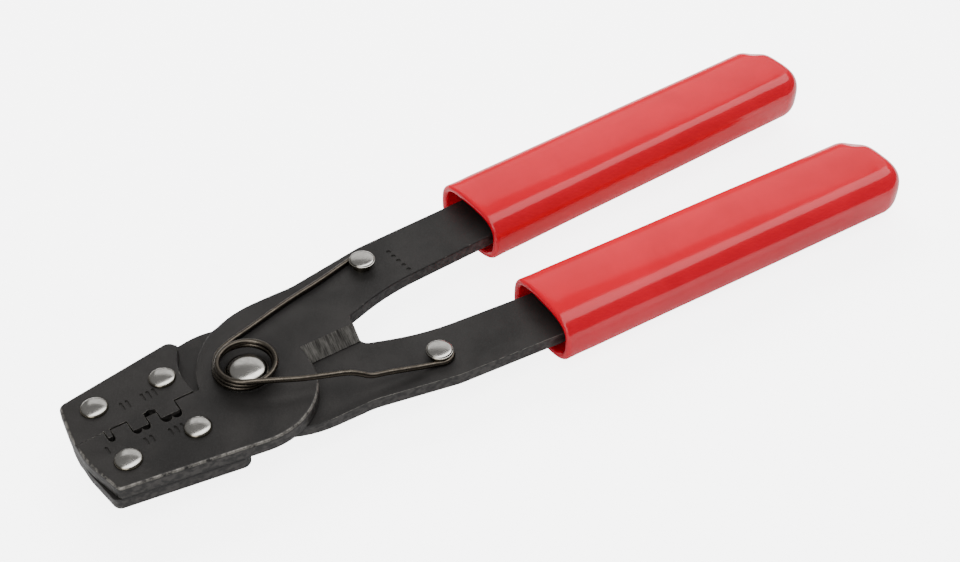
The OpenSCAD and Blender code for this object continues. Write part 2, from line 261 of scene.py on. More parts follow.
class Effects:
    """Shader groups for marks that more than one finish shows."""

    def __init__(self) -> None:
        """Builds each group once."""
        self.mottle = self._mottle()
        self.edge = self._edge()

    @staticmethod
    def _mottle() -> Tree:
        """Soft blotches and fine grain, as two masks."""
        group = Group.start(
            Kind.SHADER_TREE, "surface_mottle", {"Blotch Scale": 60.0, "Grain Scale": 2500.0},
            dict.fromkeys(("Blotch", "Grain"), Kind.VALUE),
        )
        nodes, given, place = group.nodes, group.entry.outputs, group.nodes.place()
        blotch = nodes.noise(place, given["Blotch Scale"], 5.0, Roughness=0.6, Distortion=0.4)
        grain = nodes.noise(place, given["Grain Scale"], 3.0, Roughness=0.65)
        nodes.feed(group.leave, {"Blotch": nodes.ramp(blotch, 0.3, 0.7), "Grain": grain})
        return nodes.tree

    @staticmethod
    def _edge() -> Tree:
        """Masks for a plate's rounded edges, worn in patches, and its cut sides."""
        group = Group.start(
            Kind.SHADER_TREE, "plate_edges", {"Wear": 0.5, "Patch Scale": 220.0},
            dict.fromkeys(("Worn", "Cut Side"), Kind.VALUE),
        )
        nodes, given, lean = group.nodes, group.entry.outputs, group.nodes.lean()
        off_side = nodes.ramp(lean, 0.3, 0.6)
        off_face = nodes.math("SUBTRACT", 1.0, nodes.ramp(lean, 0.86, 0.985))
        patch = nodes.noise(nodes.place(), given["Patch Scale"], 6.0, Roughness=0.72)
        whole = nodes.math("SUBTRACT", 0.95, given["Wear"])
        gone = nodes.math("MULTIPLY", nodes.math("SUBTRACT", patch, whole), 4.0, clamp=True)
        rounded = nodes.math("MULTIPLY", off_side, off_face)
        worn = nodes.math("MULTIPLY", rounded, gone, clamp=True)
        cut = nodes.math("SUBTRACT", 1.0, nodes.ramp(lean, 0.1, 0.4))
        nodes.feed(group.leave, {"Worn": worn, "Cut Side": cut})
        return nodes.tree

    def mottled(self, nodes: Nodes, blotch: float, grain: float) -> tuple[Socket, Socket]:
        """Places the mottle at two scales and returns its blotches and grain."""
        inputs = {"Blotch Scale": blotch, "Grain Scale": grain}
        group = nodes.add("ShaderNodeGroup", inputs, node_tree=self.mottle)
        return group.outputs["Blotch"], group.outputs["Grain"]


# ---- Finishes ----


def start_material(name: str) -> tuple[Material, Nodes, Node]:
    """Starts a material.

    Args:
        name: The material's name.

    Returns:
        The material, a node helper and its Principled BSDF.
    """
    material = bpy.data.materials.new(name)
    material.use_nodes = True
    return material, Nodes(material.node_tree), material.node_tree.nodes["Principled BSDF"]


@dataclass(frozen=True)
class BlackSteel:
    """Black oxide on a stamped plate: mottled, with worn rounds and grey cut sides.

    The ranges say, in metres, where rubbing and handling begin and are full,
    where the jaws end, and how far painted shade along the seam between the plates reaches.
    """

    name: str = "black_oxide_steel"
    dark: Point = (0.0165, 0.0155, 0.0147)
    faded: Point = (0.028, 0.026, 0.0245)
    side: Point = (0.05, 0.046, 0.043)
    side_pits: float = 0.28
    bare: Point = (0.34, 0.32, 0.29)
    least_wear: float = 0.38
    wear: float = 0.2
    jaw_wear: float = 0.75
    patch_scale: float = 620.0
    rubbed_y: Pair = (-0.006, -0.013)
    handled_x: Pair = (-0.010, -0.014)
    jaws_end_x: Pair = (0.004, 0.010)
    seam_unworn_z: Pair = (0.0008, 0.002)
    # Painted shade in the seam: within this distance of it the jaws' cut sides fade to the dark
    # oxide colour.
    seam_shade_z: Pair = (0.0002, 0.0006)
    rough: float = 0.38
    shine: float = 0.34

    def build(self, effects: Effects) -> Material:
        """Returns the finished material."""
        material, nodes, shader = start_material(self.name)
        blotch, grain = effects.mottled(nodes, 70.0, 3200.0)
        x, y, z = nodes.parts(nodes.place())
        behind_jaws, off_seam = nodes.ramp(x, *self.jaws_end_x), nodes.math("ABSOLUTE", z)
        handled = nodes.math("MULTIPLY", nodes.ramp(x, *self.handled_x), self.jaw_wear)
        rubbed = nodes.math("MAXIMUM", nodes.ramp(y, *self.rubbed_y), handled)
        open_to_wear = nodes.math(
            "MAXIMUM", behind_jaws, nodes.ramp(off_seam, *self.seam_unworn_z)
        )
        wear = nodes.math("MULTIPLY_ADD", rubbed, self.wear, self.least_wear)
        wear = nodes.math("MULTIPLY", wear, open_to_wear)
        inputs = {"Wear": wear, "Patch Scale": self.patch_scale}
        edge = nodes.add("ShaderNodeGroup", inputs, node_tree=effects.edge)
        cut, worn = edge.outputs["Cut Side"], edge.outputs["Worn"]
        drag = nodes.noise(nodes.place((900.0, 900.0, 1100.0)), 1.0, 4.0)
        pits = [c * self.side_pits for c in self.side]
        torn = nodes.mix(nodes.ramp(drag, 0.36, 0.64), pits, self.side)
        # Painted shade: on the jaws, cut sides near the seam between the plates take the dark oxide
        # colour.
        clear = nodes.math("MAXIMUM", behind_jaws, nodes.ramp(off_seam, *self.seam_shade_z))
        torn = nodes.mix(clear, self.dark, torn)
        colour = nodes.mix(cut, nodes.mix(blotch, self.dark, self.faded), torn)
        rough = nodes.math("MULTIPLY_ADD", blotch, 0.1, self.rough)
        nodes.feed(shader, {
            "Base Color": nodes.mix(worn, colour, self.bare),
            "Metallic": nodes.math("MULTIPLY", worn, 0.9),
            "Specular IOR Level": self.shine,
            "Roughness": nodes.math("MULTIPLY_ADD", grain, 0.06, rough),
            "Normal": nodes.bump(0.3, 0.00012, nodes.math("MULTIPLY_ADD", cut, drag, grain)),
        })
        return material


@dataclass(frozen=True)
class GroundSteel:
    """A cutting bevel ground across its length."""

    name: str = "ground_cutter_steel"
    light: Point = (0.27, 0.26, 0.24)
    dark: Point = (0.05, 0.047, 0.043)
    turn_deg: float = 32.0
    streaks: Point = (3000.0, 260.0, 300.0)

    def build(self, effects: Effects) -> Material:
        """Returns the finished material."""
        material, nodes, shader = start_material(self.name)
        place = nodes.place(self.streaks, radians(self.turn_deg))
        streak = nodes.noise(place, 1.0, 5.0, Roughness=0.7)
        blotch, _ = effects.mottled(nodes, 400.0, 2500.0)
        share = nodes.ramp(streak, 0.3, 0.72)
        colour = nodes.mix(share, self.dark, self.light)
        nodes.feed(shader, {
            "Base Color": nodes.mix(nodes.math("MULTIPLY", blotch, 0.45), colour, self.dark),
            "Metallic": 0.75,
            "Roughness": nodes.math("MULTIPLY_ADD", share, 0.2, 0.34),
            "Normal": nodes.bump(0.5, 0.00012, streak),
        })
        return material


@dataclass(frozen=True)
class BareMetal:
    """Plated or drawn metal with fine marks, with painted shading: its crown colour is a painted
    highlight where it lies flat and its rim colour painted shade where it stands steep.
    """

    name: str
    # crown is the painted highlight colour for flat-lying faces, rim the painted shade colour for
    # steep faces.
    crown: Point
    rim: Point
    rough: float
    blotch: float
    mark: float
    # Leans over which the painted shading runs from the rim's shade to the crown's highlight.
    painted_shading_span: Pair = (0.35, 0.85)

    def build(self, effects: Effects) -> Material:
        """Returns the finished material."""
        material, nodes, shader = start_material(self.name)
        blotch, grain = effects.mottled(nodes, 700.0, 5200.0)
        # Painted shading: steep faces take the rim's painted shade, flat ones the crown's painted
        # highlight.
        colour = nodes.mix(nodes.ramp(nodes.lean(), *self.painted_shading_span), self.rim, self.crown)
        dim = nodes.math("MULTIPLY", blotch, self.blotch)
        nodes.feed(shader, {
            "Base Color": nodes.mix(dim, colour, [c * 0.5 for c in self.rim]),
            "Metallic": 1.0,
            "Roughness": nodes.math("MULTIPLY_ADD", blotch, 0.12, self.rough),
            "Normal": nodes.bump(self.mark, 0.00008, grain),
        })
        return material


@dataclass(frozen=True)
class Vinyl:
    """Glossy dipped vinyl with a faintly wavy skin."""

    name: str = "red_dipped_vinyl"
    colour: Point = (0.78, 0.001, 0.022)
    deep: Point = (0.68, 0.001, 0.018)
    rough: float = 0.11

    def build(self, effects: Effects) -> Material:
        """Returns the finished material."""
        material, nodes, shader = start_material(self.name)
        blotch, grain = effects.mottled(nodes, 45.0, 900.0)
        wave = nodes.noise(nodes.place((30.0, 130.0, 130.0)), 1.0, 2.0)
        nodes.feed(shader, {
            "Base Color": nodes.mix(blotch, self.colour, self.deep),
            "Roughness": nodes.math("MULTIPLY_ADD", grain, 0.05, self.rough),
            "Subsurface Weight": 0.08,
            "Subsurface Radius": (0.004, 0.0008, 0.0006),
            "Subsurface Scale": 1.0,
            "Normal": nodes.bump(0.25, 0.0006, wave),
        })
        return material


# ---- Mesh helpers ----


def new_object(name: str, mesh: bpy.types.Mesh) -> Object:
    """Links a new object that shows the mesh."""
    made = bpy.data.objects.new(name, mesh)
    bpy.context.scene.collection.objects.link(made)
    return made


def frozen(source: Object, name: str) -> Object:
    """Turns an object and its modifiers into one plain mesh object.

    Args:
        source: The object with live modifiers, which is removed.
        name: The name of the plain object.

    Returns:
        The plain object.
    """
    bpy.context.view_layer.update()
    graph = bpy.context.evaluated_depsgraph_get()
    mesh = bpy.data.meshes.new_from_object(source.evaluated_get(graph), depsgraph=graph)
    old = source.data
    bpy.data.objects.remove(source)
    if old.users == 0:
        bpy.data.meshes.remove(old)
    mesh.name = name
    return new_object(name, mesh)


def smooth_by_angle(piece: Object, degrees: float) -> None:
    """Shades a piece smooth except over edges sharper than the angle."""
    piece.data.shade_smooth()
    piece.data.set_sharp_from_angle(angle=radians(degrees))


def shown(bm: BMesh, name: str, degrees: float) -> Object:
    """Turns a bmesh, which is freed, into an object that is smooth by angle."""
    mesh = bpy.data.meshes.new(name)
    bm.to_mesh(mesh)
    bm.free()
    piece = new_object(name, mesh)
    smooth_by_angle(piece, degrees)
    return piece


def lathe(name: str, profile: Sequence[Pair], centre: Pair = (0, 0)) -> Object:
    """Turns a profile about the vertical line through a centre.

    Args:
        name: The piece's name.
        profile: Radius and height of each point in millimetres, from the
            bottom outwards and up. With a radius of 0 at both ends it closes
            on the axis, else it closes to a ring.
        centre: The centre in millimetres.

    Returns:
        The turned piece.
    """
    sides = 96
    turns = [2 * pi / sides * k for k in range(sides)]
    bm = bmesh.new()
    rings = []
    for radius, height in profile:
        rings.append([
            bm.verts.new((
                (centre[0] + radius * cos(turn)) * MM,
                (centre[1] + radius * sin(turn)) * MM,
                height * MM,
            ))
            for turn in (turns if radius > 0 else turns[:1])
        ])
    closed = profile[0][0] > 0
    for low, high in zip(rings, rings[1:] + (rings[:1] if closed else [])):
        for k in range(sides):
            m = (k + 1) % sides
            turns = ((low, k), (low, m), (high, m), (high, k))
            corners = list(dict.fromkeys(ring[at % len(ring)] for ring, at in turns))
            if len(corners) > 2:
                bm.faces.new(corners)
    bmesh.ops.recalc_face_normals(bm, faces=bm.faces)
    return shown(bm, name, 40)


def dome_profile(radius: float, height: float, base: float, steps: int = 14) -> list[Pair]:
    """Points of a round-shouldered dome, from its rim to its crown."""
    turns = [pi / 2 * i / steps for i in range(steps)]
    rim = [(radius * cos(turn), base + height * sin(turn)) for turn in turns]
    return rim + [(0, base + height)]


def turned_over(points: Sequence[Pair], level: float) -> list[Pair]:
    """Mirrors a profile at a height and reverses it."""
    return [(radius, 2 * level - height) for radius, height in reversed(points)]


def dress(
    piece: Object, materials: Sequence[Material], half: Half | None,
    nodes: Iterable[str],
) -> None:
    """Gives a piece its materials and body, hides the CAD nodes that it replaces, and logs its
    faces.

    Args:
        piece: The finished piece.
        materials: Its materials, in slot order.
        half: The body that it rides on, or None for a piece that spans both halves.
        nodes: The CAD nodes that it replaces.
    """
    piece.data.materials.clear()
    for material in materials:
        piece.data.materials.append(material)
    if half:
        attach(piece, half.value)
    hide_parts(*nodes)
    body = half.value if half else "both halves"
    LOG.info("%s: %d faces on %s", piece.name, len(piece.data.polygons), body)


# ---- Plates ----


@dataclass(frozen=True)
class Mark:
    """A plain bar or dot stamped into a plate, in millimetres."""

    x: float
    y: float
    length: float = 0.95
    width: float = 0.95
    corners: int = 20

    def outline(self, spread: float) -> list[Pair]:
        """Points round the mark, whose length runs along y, grown by a spread."""
        radius = self.width / 2 + spread
        run = (self.length - self.width) / 2
        points = []
        for k in range(self.corners):
            turn = 2 * pi * (k + 0.5) / self.corners
            along = radius * cos(turn) + copysign(run, cos(turn))
            points.append((self.x - radius * sin(turn), self.y + along))
        return points


def tally(x: float, y: float, count: int, length: float) -> list[Mark]:
    """A row of plain bars that starts at a point."""
    spacing, width = 1.25, 0.55
    return [Mark(x + spacing * k, y, length, width) for k in range(count)]


@dataclass
class Plate:
    """A stamped plate: the CAD outline with rounded edges and stamped marks.

    Every size is in millimetres. The roundings belong to the jaws' outline,
    the hidden back of the hub, the handle, the seam between both layers, the
    nests, and the cutter, which stays keen.
    """

    node: str
    name: str
    half: Half
    outer_z: float
    marks: Sequence[Mark] = ()
    jaw_round: float = 0.8
    back_round: float = 0.22
    handle_round: float = 0.38
    seam_round: float = 0.13
    nest_round: float = 0.09
    keen_round: float = 0.03
    nest_cusps: tuple = ((-23.8, -2.05, 0.05), (-17.6, -2.25, 0.0))
    parting_y: float = 1.0
    nest_reach: float = 4.7
    jaw_front: float = -36.2
    jaw_back: float = -13.6
    hub_front: float = -8.0
    hub_outer_y: float = 14.0
    handle_x: Pair = (8.0, 16.0)
    cutter_x: Pair = (12.3, 25.4)
    cutter_y: Pair = (-3.0, 3.4)
    front_band: float = 0.4
    front_fade: float = 1.6
    level_slack: float = 0.02
    stamp_steps: tuple = ((0.04, 0.0), (0.0, 0.1), (-0.02, 0.24))
    steps: int = 5
    spacing: float = 0.7

    def edge_round(self, point: Vector) -> float:
        """Rounding of the outline at a point, in millimetres."""
        x, y, z = (c / MM for c in point)
        in_cutter = self.cutter_x[0] - 0.05 < x < self.cutter_x[1] + 0.3
        if in_cutter and self.cutter_y[0] < y < self.cutter_y[1]:
            return self.keen_round
        for cusp_x, cusp_y, half in self.nest_cusps:
            if abs(x - cusp_x) < 0.5 and -1.2 < y - cusp_y < 0.05:
                return min(self.nest_round, 0.4 * half + 0.2 * (y - cusp_y) ** 2)
        if abs(z - self.outer_z) > self.level_slack:
            return self.seam_round
        off = abs(y - self.parting_y)
        if x < self.hub_front:
            if x < self.jaw_front + self.front_band:
                share = min(1.0, off / self.front_fade)
                return self.nest_round + (self.jaw_round - self.nest_round) * share
            if off < self.nest_reach:
                return self.nest_round
            hidden = x > self.jaw_back and off < self.hub_outer_y
            return self.back_round if hidden else self.jaw_round
        if x < 0 and self.outer_z * (y - self.parting_y) > 0 and "lever" in self.node:
            return self.back_round
        begin, full = self.handle_x
        share = min(1.0, max(0.0, (x - begin) / (full - begin)))
        return self.jaw_round + (self.handle_round - self.jaw_round) * share

    @staticmethod
    def flat_faces(bm: BMesh, level: float) -> set[bmesh.types.BMFace]:
        """Every face that lies at a height, in metres."""
        return {f for f in bm.faces if all(abs(v.co.z - level) < 1e-6 for v in f.verts)}

    def divide_rim(self, bm: BMesh, level: float) -> None:
        """Cuts the long edges round a flat face into even short ones."""
        most_cuts = 400
        flat = self.flat_faces(bm, level)
        rim = [e for e in bm.edges if sum(f in flat for f in e.link_faces) == 1]
        for count in range(1, most_cuts):
            pieces = count + 1
            long = [e for e in rim if ceil(e.calc_length() / (self.spacing * MM)) == pieces]
            if long:
                bmesh.ops.subdivide_edges(bm, edges=long, cuts=count)

    def cap(self, bm: BMesh, level: float, up: float) -> None:
        """Rounds the rim of one flat face and fills it again.

        Args:
            bm: The plate.
            level: Height of the flat face, in metres.
            up: 1 for a face that looks up, -1 for one that looks down.
        """
        self.divide_rim(bm, level)
        flat = self.flat_faces(bm, level)
        following, inward = {}, {}
        for loop in (loop for face in flat for loop in face.loops):
            if sum(f in flat for f in loop.edge.link_faces) == 1:
                a, b = loop.vert, loop.link_loop_next.vert
                following[a] = b
                side = Vector((0.0, 0.0, up)).cross((b.co - a.co).normalized())
                inward.setdefault(a, []).append(side)
                inward.setdefault(b, []).append(side)
        sizes = {v: self.edge_round(v.co) * MM for v in inward}
        before = {b: a for a, b in following.items()}
        for _ in range(2):
            sizes = {
                v: min(sizes[v], (sizes[before[v]] + sizes[v] + sizes[following[v]]) / 3)
                for v in inward
            }
        bmesh.ops.delete(bm, geom=list(flat), context="FACES_ONLY")
        for edge in [e for e in bm.edges if not e.link_faces]:
            bm.edges.remove(edge)
        least = 1e-6
        low = {v: v for v in inward}
        start = {v: v.co.copy() for v in inward}
        for v in inward:
            v.co.z -= up * sizes[v]
        for k in range(1, self.steps + 1):
            turn = pi / 2 * k / self.steps
            high = {}
            for v, sides in inward.items():
                if sizes[v] < least:
                    high[v] = v
                    continue
                miter = (sides[0] + sides[-1]) / max(0.35, 1 + sides[0].dot(sides[-1]))
                place = start[v] + miter * sizes[v] * (1 - cos(turn))
                place.z = level - up * sizes[v] * (1 - sin(turn))
                high[v] = bm.verts.new(place)
            for a, b in following.items():
                corners = list(dict.fromkeys((low[a], low[b], high[b], high[a])))
                if len(corners) > 2:
                    bm.faces.new(corners)
            low = high
        bounds = [(low[a], low[b]) for a, b in following.items()]
        if abs(level / MM - self.outer_z) < self.level_slack:
            for mark in self.marks:
                bounds += self.stamp(bm, mark, level, up)
        self.fill(bm, bounds, level, up)

    @staticmethod
    def fill(bm: BMesh, bounds: Sequence[tuple], level: float, up: float) -> None:
        """Fills a flat face between its outline, its holes and its marks.

        Args:
            bm: The plate.
            bounds: Pairs of vertices along every closed loop.
            level: Height of the face, in metres.
            up: 1 for a face that looks up, -1 for one that looks down.
        """
        verts = list(dict.fromkeys(v for pair in bounds for v in pair))
        index = {v: i for i, v in enumerate(verts)}
        flat = [Vector((v.co.x / MM, v.co.y / MM)) for v in verts]
        edges = [(index[a], index[b]) for a, b in bounds]
        spots, _, faces, sources, _, _ = delaunay_2d_cdt(flat, edges, [], 1, 1e-5)
        made = [
            verts[source[0]] if source else bm.verts.new((spot.x * MM, spot.y * MM, level))
            for spot, source in zip(spots, sources)
        ]
        starts = np.array([flat[a] for a, _ in edges])
        ends = np.array([flat[b] for _, b in edges])
        for face in faces:
            middle = sum((spots[i] for i in face), Vector((0.0, 0.0))) / len(face)
            spans = (starts[:, 1] > middle.y) != (ends[:, 1] > middle.y)
            low, run = starts[spans], ends[spans] - starts[spans]
            cross = low[:, 0] + (middle.y - low[:, 1]) * run[:, 0] / run[:, 1]
            if np.count_nonzero(cross > middle.x) % 2 == 0:
                continue
            corners = list(dict.fromkeys(made[i] for i in face))
            if len(corners) == 3 and bm.faces.get(corners) is None:
                bm.faces.new(corners if up > 0 else corners[::-1])

    def stamp(self, bm: BMesh, mark: Mark, level: float, up: float) -> list[tuple]:
        """Sinks one mark and returns the pairs of vertices round its mouth."""
        loops = []
        for spread, drop in self.stamp_steps:
            z = level - up * drop * MM
            loops.append([bm.verts.new((x * MM, y * MM, z)) for x, y in mark.outline(spread)])
        faces = []
        for high, low in zip(loops, loops[1:]):
            after = zip(high[1:] + high[:1], high, low, low[1:] + low[:1])
            faces += [list(corners) for corners in after]
        for corners in faces + [loops[-1]]:
            bm.faces.new(corners if up > 0 else corners[::-1])
        return list(zip(loops[0], loops[0][1:] + loops[0][:1]))

    def mesh(self) -> Object:
        """Builds the rounded plate."""
        bm = bmesh.new()
        bm.from_mesh(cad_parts[self.node].data)
        bmesh.ops.remove_doubles(bm, verts=bm.verts, dist=2e-6)
        bmesh.ops.dissolve_limit(
            bm, angle_limit=radians(0.3), verts=bm.verts, edges=bm.edges, delimit=set()
        )
        bm.normal_update()
        heights = [v.co.z for v in bm.verts]
        self.cap(bm, max(heights), 1.0)
        self.cap(bm, min(heights), -1.0)
        rough = shown(bm, self.name + "_blank", 24)
        even = rough.modifiers.new("even", "WEIGHTED_NORMAL")
        even.keep_sharp = True
        even.weight = 90
        return frozen(rough, self.name)

    def build(self, steel: Material, ground: Material) -> None:
        """Builds and dresses the plate, with the ground steel on its cutter."""
        piece = self.mesh()
        dress(piece, [steel, ground], self.half, [self.node])
        for face in piece.data.polygons:
            x, y, _ = (c / MM for c in face.center)
            slanted = 0.5 < abs(face.normal.z) < 0.95 and abs(face.normal.x) < 0.05
            in_x = self.cutter_x[0] - 0.1 < x < self.cutter_x[1] + 0.1
            if slanted and in_x and abs(y) < abs(self.cutter_y[0]):
                face.material_index = 1


# ---- Rivets, posts and washers ----


def rivet_group() -> Group:
    """Builds the group that sets a domed rivet on every point of a mesh."""
    group = Group.start(
        Kind.SHAPE_TREE, "rivet_row",
        {"Geometry": Kind.SHAPE, **{k: v * MM for k, v in RIVET.items()}, "Finish": Kind.FINISH},
        {"Geometry": Kind.SHAPE},
    )
    nodes, given = group.nodes, group.entry.outputs
    radius, height = given["Head Radius"], given["Head Height"]
    lip = nodes.math("MULTIPLY", height, 0.16)
    half_lip = nodes.math("DIVIDE", lip, 2.0)
    half_stack = nodes.math("DIVIDE", given["Stack"], 2.0)
    disc = nodes.add("GeometryNodeMeshCylinder", {
        "Vertices": 72, "Side Segments": 1, "Fill Segments": 14, "Radius": radius, "Depth": lip,
    })
    x, y, _ = nodes.parts(nodes.add("GeometryNodeInputPosition").outputs[0])
    reach = nodes.add("ShaderNodeVectorMath", {0: nodes.vector(x, y)}, operation="LENGTH")
    share = nodes.math("DIVIDE", reach.outputs["Value"], radius)
    share = nodes.math("MINIMUM", share, 1.0)
    turn = nodes.math("MULTIPLY", share, pi / 2)
    spread = nodes.math("DIVIDE", nodes.math("SINE", turn), nodes.math("MAXIMUM", share, 0.001))
    crown = nodes.math("SUBTRACT", height, lip)
    rise = nodes.math("MULTIPLY", nodes.math("COSINE", turn), crown)
    domed = nodes.vector(
        nodes.math("MULTIPLY", x, spread),
        nodes.math("MULTIPLY", y, spread),
        nodes.math("ADD", half_lip, rise),
    )
    head = nodes.add("GeometryNodeSetPosition", {
        "Geometry": disc.outputs["Mesh"], "Selection": disc.outputs["Top"], "Position": domed,
    }).outputs[0]
    up = nodes.vector(z=nodes.math("ADD", half_stack, half_lip))
    top = nodes.add("GeometryNodeTransform", {"Geometry": head, "Translation": up})
    flatter = nodes.math("DIVIDE", given["Tail Height"], height)
    low = nodes.math("MULTIPLY_ADD", half_lip, flatter, half_stack)
    tail = nodes.add("GeometryNodeTransform", {
        "Geometry": head,
        "Translation": nodes.vector(z=nodes.math("MULTIPLY", low, -1.0)),
        "Rotation": (pi, 0.0, 0.0),
        "Scale": nodes.vector(1.0, 1.0, flatter),
    })
    shank = nodes.add("GeometryNodeMeshCylinder", {
        "Vertices": 48, "Radius": given["Shank Radius"], "Depth": given["Stack"],
    })
    whole = nodes.add("GeometryNodeJoinGeometry")
    for part in (top, tail, shank):
        nodes.feed(whole, {0: part.outputs[0]})
    placed = {"Points": given[0], "Instance": whole.outputs[0]}
    group.close(nodes.add("GeometryNodeInstanceOnPoints", placed).outputs[0])
    return group


@dataclass
class RivetRow:
    """Equal rivets that hold one jaw's plates together."""

    name: str
    half: Half
    y: float
    nodes: Sequence[str]
    xs: Sequence[float] = (-29.3, -14.8)

    def build(self, group: Group, metal: Material) -> None:
        """Sets the rivets and dresses them.

        Args:
            group: The group that draws the rivets.
            metal: Their finish.
        """
        points = [(x * MM, self.y * MM, 0.0) for x in self.xs]
        sizes = {label: size * MM for label, size in RIVET.items()}
        piece = group.grow(self.name, points, [], {**sizes, "Finish": metal})
        smooth_by_angle(piece, 40)
        dress(piece, [metal], self.half, self.nodes)


@dataclass
class Pivot:
    """The pivot rivet and its two washers, in millimetres."""

    shank: float = 3.0
    head_radius: float = 4.2
    head_height: float = 1.6
    tail_height: float = 1.2
    lip: float = 0.2
    washer_radius: float = 4.4
    washer_thick: float = 0.6
    edge: float = 0.14

    def washer(self, low: float) -> list[Pair]:
        """The profile of a flat ring with softened edges that stands on a height."""
        outer, e, high = self.washer_radius, self.edge, low + self.washer_thick
        soft = e * (1 - sqrt(0.5))
        bottom = [(self.shank, low), (outer - e, low), (outer - soft, low + soft), (outer, low + e)]
        return bottom + turned_over(bottom, (low + high) / 2)

    def build(self, metal: Material, ring: Material) -> None:
        """Builds the rivet and the washers and dresses them."""
        radius, over = self.head_radius, FACE_Z + self.washer_thick
        under = -FACE_Z - GAP_Z - self.washer_thick
        tail = dome_profile(radius, self.tail_height - self.lip, under + self.lip)
        rivet = (
            turned_over(tail, under)
            + [(radius, under), (self.shank, under), (self.shank, over), (radius, over)]
            + dome_profile(radius, self.head_height - self.lip, over + self.lip)
        )
        for name, profile, finish, slot, node in (
            ("pivot_rivet_turned", rivet, metal, "rivet_steel", "pivot_rivet"),
            ("pivot_top_ring", self.washer(FACE_Z), ring, "washer_steel", "pivot_top_washer"),
            ("pivot_bottom_ring", self.washer(under), ring, "washer_steel", "pivot_bottom_washer"),
        ):
            dress(lathe(name, profile), [finish], Half.UPPER, [node])


@dataclass
class SpringPost:
    """A turned post that holds one arm of the spring, in millimetres.

    Its head has a small bevel below and a rounded shoulder above.
    """

    name: str
    node: str
    half: Half
    at: Pair
    low: float
    high: float
    shank: float = 1.6
    neck: float = 2.1
    neck_high: float = 1.35
    head: float = 2.85
    head_side: float = 0.6
    crown: float = 0.5
    foot: float = 2.4
    foot_high: float = 0.7

    def build(self, metal: Material) -> None:
        """Builds the post and dresses it."""
        under, bevel = self.high + self.neck_high, 0.12
        rim = under + self.head_side
        foot = dome_profile(self.foot, self.foot_high, self.low)
        profile = turned_over(foot, self.low) + [
            (self.shank, self.low), (self.shank, self.high), (self.neck, self.high),
            (self.neck, under), (self.head - bevel, under), (self.head, under + bevel),
            (self.head, rim - 0.16), (self.head - 0.05, rim - 0.05), (self.head - 0.18, rim),
        ] + dome_profile(self.head - 0.2, self.crown, rim)[1:]
        piece = lathe(self.name, profile, self.at)
        dress(piece, [metal], self.half, [self.node])


# ---- Return spring ----


